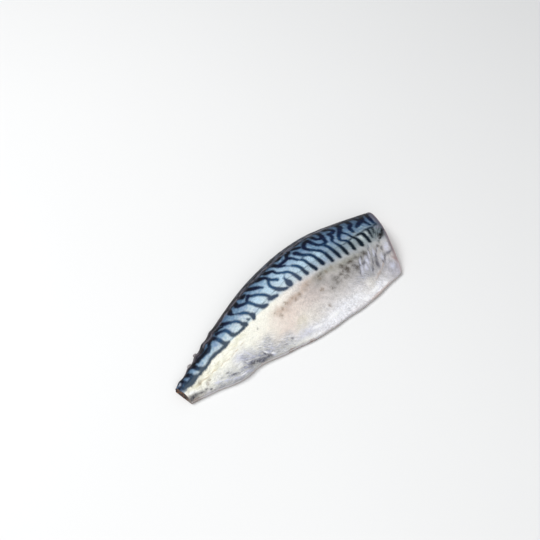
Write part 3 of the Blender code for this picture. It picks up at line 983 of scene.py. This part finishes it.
def bare_flesh(g, along, noise):
    """Flesh that shows at the belly edge: beige, browner at the tail and middle, pinker at the head."""
    brown = g.times(g.ramp(along, 84, 90), g.ramp(along, 122, 114))
    return g.lay(
        g.mix("#b3a8a0", "#d8cfc8", noise),
        ("#99837d", brown, g.ramp(noise, 0.4, 0.65, 0.15, 0.8)),
        ("#81756f", g.ramp(along, 14, 7), g.ramp(noise, 0.3, 0.6, 0.9, 0.4)),
        ("#d9c8c1", g.ramp(along, 160, 180, 0, 0.8)),
    )


def back_colour(g, along):
    """Pale blue cells that deepen towards the ridge of the back and the head."""
    mottle = g.noise(2.4, 4, 0.65)
    speck = g.noise(1.2, 3, 0.6)
    tint = g.noise(5.5, 2)
    low = g.graded(along, "#bfcdd3", (36, 70, "#cbd8dd"), (118, 178, "#8ca0b0"), (184, 200, "#9aa6ab"))
    middle = g.graded(along, "#7b98b2", (116, 132, "#92afc9"), (148, 160, "#6b8aa8"), (196, 212, "#587591"))
    high = g.graded(along, "#4d6884", (120, 196, "#43566c"))
    rise = g.plus(g.swing(mottle, 0.6, "rise"), g.ramp(along, 76, 36, 0, 0.1))
    below = g.ramp(rise, 0.6, 0.35)
    colour = g.graded(rise, low, (0.14, 0.44, middle), (0.38, 0.66, high))
    colour = g.lay(
        colour,
        ("#5b7f9e", g.ramp(mottle, 0.54, 0.74), 0.45),
        ("#8e9dbd", below, g.ramp(tint, 0.52, 0.66, 0, 0.35)),
        ("#b2ccd8", below, g.ramp(tint, 0.46, 0.34, 0, 0.35)),
    )
    # The wash at the head end of the back is painted shade, broken by streaks.
    colour = washed(g, colour, BACK_WASHES, speck, {"head_shade": g.streaks(-52, 7, 1.3)})
    return g.mix(colour, g.scaled(speck, 1.1, 0.45), 1, "MULTIPLY")


def bar_colour(g, along):
    """Bars with blue stems and navy tops, whose lower ends are grey at the tail and black at the head."""
    cloud = g.noise(3)
    ends = g.graded(along, "#414e5b", (70, 100, "#3f4c60"), (134, 160, "#192536"), (172, 190, "#17222b"))
    stems = g.graded(along, "#223448", (42, 56, "#2a4969"), (136, 172, "#152e4b"))
    stems = g.lay(stems, ("#38597a", g.ramp(cloud, 0.48, 0.66), 0.5))
    tops = g.mix("#0a1c34", "#234468", g.ramp(cloud, 0.54, 0.72, 0, 0.6))
    low = g.maths("SUBTRACT", "rise", g.ramp(along, 192, 206, 0, 0.14))
    colour = g.graded("rise", g.graded(low, ends, (0.1, 0.26, stems)), (0.3, 0.48, tops))
    return g.mix(colour, "#040a14", g.ramp("ridge", 6, 1.5, 0, 0.85))


def ridge_colour(g, along):
    """Dull dark grey along the ridge of the back, with painted grey sheen in streaks, near-black blotches
    and a browner tail half.
    """
    cloud = g.streaks(8, 7, 3)
    run = g.streaks(4, 18, 2.2, 2)
    dull = g.graded(along, "#352f35", (70, 130, "#3a414e"))
    return g.lay(
        dull,
        # Painted sheen in grey streaks along the ridge.
        ("#6a6a77", g.ramp(run, 0.5, 0.7, 0, 0.7)),
        ("#080e17", g.ramp(cloud, 0.44, 0.56)),
        ("#0d1824", g.ramp(along, 192, 212, 0, 0.9)),
    )


def head_rim(g, colour, down, edge):
    """The skin's drawn and darkened margin at the head cut, with flesh along its very edge."""
    rim = g.graded(down, "#5d5b65", (36, 46, "#7a7279"), (56, 64, "#a19192"), (66, 73, "#bdb9c0"))
    flesh = g.graded(down, "#9a8c8f", (30, 60, "#bfaaa6"))
    return g.lay(
        colour,
        (rim, g.ramp(g.scaled(edge, 3, "to_head"), 6, 3.4, 0, 0.85)),
        (flesh, g.ramp(g.scaled(edge, 1.6, "to_head"), 1.7, 1, 0, 0.9)),
    )


def skin_material():
    g = Graph("mackerel_skin", "skin_place")
    along, down, _ = g.parts()
    edge = g.noise(1.3)
    wander = g.noise(5, 2)
    bars = g.ramp(g.swing(wander, 1.2, g.swing(edge, 1.3, "bars")), 1.25, -0.95)
    ridge = g.ramp(g.swing(wander, 7, "ridge"), 1.6, -1.6)
    whole = g.most(g.ramp(wander, 0.4, 0.6, 0.1, 0.6), g.ramp(along, 196, 214, 0, 0.35))
    colour = g.mix(flank_colour(g, along), back_colour(g, along), "back")
    colour = g.lay(
        colour,
        ("#6f7f8b", "lateral", g.ramp(edge, 0.3, 0.5, 0.5, 0.95)),
        (bar_colour(g, along), bars),
        (ridge_colour(g, along), ridge),
        # Painted highlight line along the ridge of the back.
        ("#77737b", "ridge_sheen", whole),
    )
    colour = head_rim(g, colour, down, edge)
    colour = g.lay(colour, ("#1a1719", "blotch", g.ramp(edge, 0.36, 0.5, 0.7, 1)))
    scales = g.node("TexVoronoi", {"Vector": g.place, "Scale": 0.9}, feature="DISTANCE_TO_EDGE")
    tiles = g.ramp(scales.outputs["Distance"], 0, 0.25, 0, 0.3)
    relief = (g.scaled(g.noise(0.7), 0.6, tiles), 0.00012, 0.7)
    return g.finish(colour, g.noise(6), (0.34, 0.52), relief, SKIN_SHINE)


def flesh_material():
    """Pink flesh with the pale edges of its muscle segments and a red line at the backbone."""
    g = Graph("mackerel_flesh", "cut_place")
    _, across, _ = g.parts()
    broad = g.mapped((1, 60, 6))
    cloud = g.noise(8, 4, place=broad)
    lines = g.maths("PINGPONG", "segments", 0.5)
    ribs = g.times(g.ramp(across, 0.54, 0.62), g.ramp(across, 0.86, 0.78))
    spine = g.ramp(g.off(across, SPINE_PLACE), 0.045, 0, 0, 0.85)
    colour = g.mix("#c48d86", "#d9aca0", cloud)
    colour = g.lay(
        colour,
        ("#ecd0c4", g.ramp(lines, 0.12, 0, 0, 0.7)),
        ("#dcbcb8", ribs, g.ramp(cloud, 0.3, 0.6, 0.3, 0.8)),
        ("#a6504e", spine),
        ("#ecd5cb", g.ramp(lines, 0.09, 0.04), g.ramp(spine, 0.5, 0.8)),
        ("#dba995", g.ramp(across, 0.8, 0.95, 0, 0.8)),
    )
    relief = (g.noise(1.2, 4, place=broad), 0.0002, 0.6)
    return g.finish(colour, cloud, (0.3, 0.5), relief, FLESH_SHINE)


def cut_material():
    """Cut edges of back and belly: skin that curls over them, then flesh where it is bare."""
    g = Graph("mackerel_cut", "cut_place")
    along, across, depth = g.parts()
    noise = g.noise(2.2, 4, place=g.mapped((1, 60, 5)))
    run = g.noise(1.4, place=g.mapped((0.12, 1, 0.2)))
    ragged = g.swing(noise, 0.7, depth)
    reach = g.scaled("bare", -0.5, 0.78)
    under = g.ramp(g.maths("SUBTRACT", ragged, reach), -0.08, 0.1)
    belly = g.mix(g.mix("#e8e7ea", "#c2c0c5", noise), bare_flesh(g, along, noise), under)
    skin_reach = g.scaled(g.ramp(run, 0.45, 0.65), 0.35, ragged)
    back = g.graded(skin_reach, "#2c2d36", (0.5, 0.8, g.mix("#6e5654", "#9c8480", noise)))
    colour = g.graded(across, back, (0.45, 0.55, belly))
    return g.finish(colour, noise, (0.35, 0.55), (noise, 0.0003, 0.7), CUT_SHINE)


def head_cut_material():
    """The cross-section at the head: nested muscle layers, a dark red streak and a thin line of skin."""
    g = Graph("mackerel_head_cut", "cut_place")
    _, across, depth = g.parts()
    noise = g.noise(3, 4, place=g.mapped((0, 70, 18)))
    arch = g.scaled(g.maths("PINGPONG", across, 0.25), 14, g.scaled(noise, 1.6, g.times(depth, 5)))
    red = g.times(g.ramp(g.off(across, 0.5), 0.16, 0.02), g.ramp(g.scaled(noise, 0.2, depth), 0.5, 0.15))
    skin = g.graded(across, "#2a303c", (0.35, 0.5, "#b9b5b8"))
    colour = g.graded(noise, "#b77f77", (0.35, 0.65, "#dcaa9d"))
    colour = g.lay(
        colour,
        ("#f0d9ce", g.ramp(g.maths("PINGPONG", arch, 0.5), 0.13, 0.02, 0, 0.8)),
        ("#7e3b38", red, 0.85),
        (skin, g.ramp(depth, 0.06, 0.03)),
    )
    return g.finish(colour, noise, (0.3, 0.5), (noise, 0.0003, 0.6), HEAD_CUT_SHINE)


def tail_cut_material():
    """The dried cut across the tail: dark brown with orange-brown spots, paler at the belly."""
    g = Graph("mackerel_tail_cut", "cut_place")
    _, across, _ = g.parts()
    spots = g.noise(2, 4, 0.6, g.mapped((1, 18, 8)))
    colour = g.graded(spots, "#17100e", (0.38, 0.55, "#46291c"), (0.58, 0.66, "#b0764a"))
    colour = g.mix(colour, "#8f857e", g.ramp(across, 0.66, 0.88, 0, 0.8))
    return g.finish(colour, spots, (0.4, 0.65), (spots, 0.0004, 0.8), TAIL_CUT_SHINE)


def finlet_material():
    """Dried, pale grey-beige finlet with darker rays."""
    g = Graph("mackerel_finlet")
    cloud = g.noise(0.0012)
    rays = g.noise(0.0005, 2, place=g.mapped((1, 0.2, 1)))
    colour = g.graded(cloud, "#767071", (0.35, 0.6, "#b3adab"))
    colour = g.mix(colour, "#4c484c", g.ramp(rays, 0.5, 0.65, 0, 0.7))
    return g.finish(colour, cloud, (0.45, 0.6), (rays, 0.0002, 0.6))


def floor_material():
    g = Graph("floor")
    g.feed(g.shader.inputs["Base Color"], g.mix("#ededec", "#f2f2f1", g.noise(0.4, 2)))
    g.shader.inputs["Roughness"].default_value = FLOOR_ROUGHNESS
    return g.material


def link_object(name, data):
    made = bpy.data.objects.new(name, data)
    bpy.context.scene.collection.objects.link(made)
    return made


def add_piece(name, points, faces):
    mesh = bpy.data.meshes.new(name)
    mesh.from_pydata(points, [], faces)
    mesh.shade_smooth()
    return link_object(name, mesh)


def add_floor():
    half = FLOOR_HALF
    corners = [(-half, -half, 0), (half, -half, 0), (half, half, 0), (-half, half, 0)]
    floor = add_piece("floor", corners, [(0, 1, 2, 3)])
    floor.data.materials.append(floor_material())
    floor.location.z = CAD_BOX[0][2] - FLOOR_GAP


def face_along(made, direction):
    """Turn a lamp or camera so that it looks along a direction."""
    made.rotation_mode = "QUATERNION"
    made.rotation_quaternion = direction.to_track_quat("-Z", "Y")


def add_lights():
    for name, place, size, watts in SOFTBOXES:
        data = bpy.data.lights.new(name, "AREA")
        data.shape = "DISK"
        data.size = size
        data.energy = watts
        lamp = link_object(name, data)
        lamp.location = place
        face_along(lamp, -Vector(place))
    world = bpy.data.worlds.new("studio")
    world.use_nodes = True
    background = world.node_tree.nodes["Background"]
    background.inputs["Color"].default_value = SKY_COLOUR
    background.inputs["Strength"].default_value = SKY_STRENGTH
    bpy.context.scene.world = world


def add_camera(shift):
    azimuth, elevation = math.radians(CAMERA_AZIMUTH), math.radians(CAMERA_ELEVATION)
    level = math.cos(elevation)
    back = Vector((math.sin(azimuth) * level, -math.cos(azimuth) * level, math.sin(elevation)))
    aim = Vector((*CAMERA_AIM, 0)) * MM + Vector(shift)
    data = bpy.data.cameras.new("camera")
    data.lens = CAMERA_LENS
    data.sensor_width = CAMERA_SENSOR
    camera = link_object("camera", data)
    camera.location = aim + back * CAMERA_DISTANCE * MM
    face_along(camera, -back)
    bpy.context.scene.camera = camera


def main():
    fillet, shift = build_fillet()
    for make in (skin_material, flesh_material, cut_material, tail_cut_material, head_cut_material):
        fillet.data.materials.append(make())
    finlets = build_finlets(shift)
    dried = finlet_material()
    for finlet in finlets:
        finlet.data.materials.append(dried)
    for piece in [fillet] + finlets:
        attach(piece, "root")
        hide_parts("fillet")
    add_floor()
    add_lights()
    add_camera(shift)
    bpy.context.scene.view_settings.view_transform = "Standard"


main()
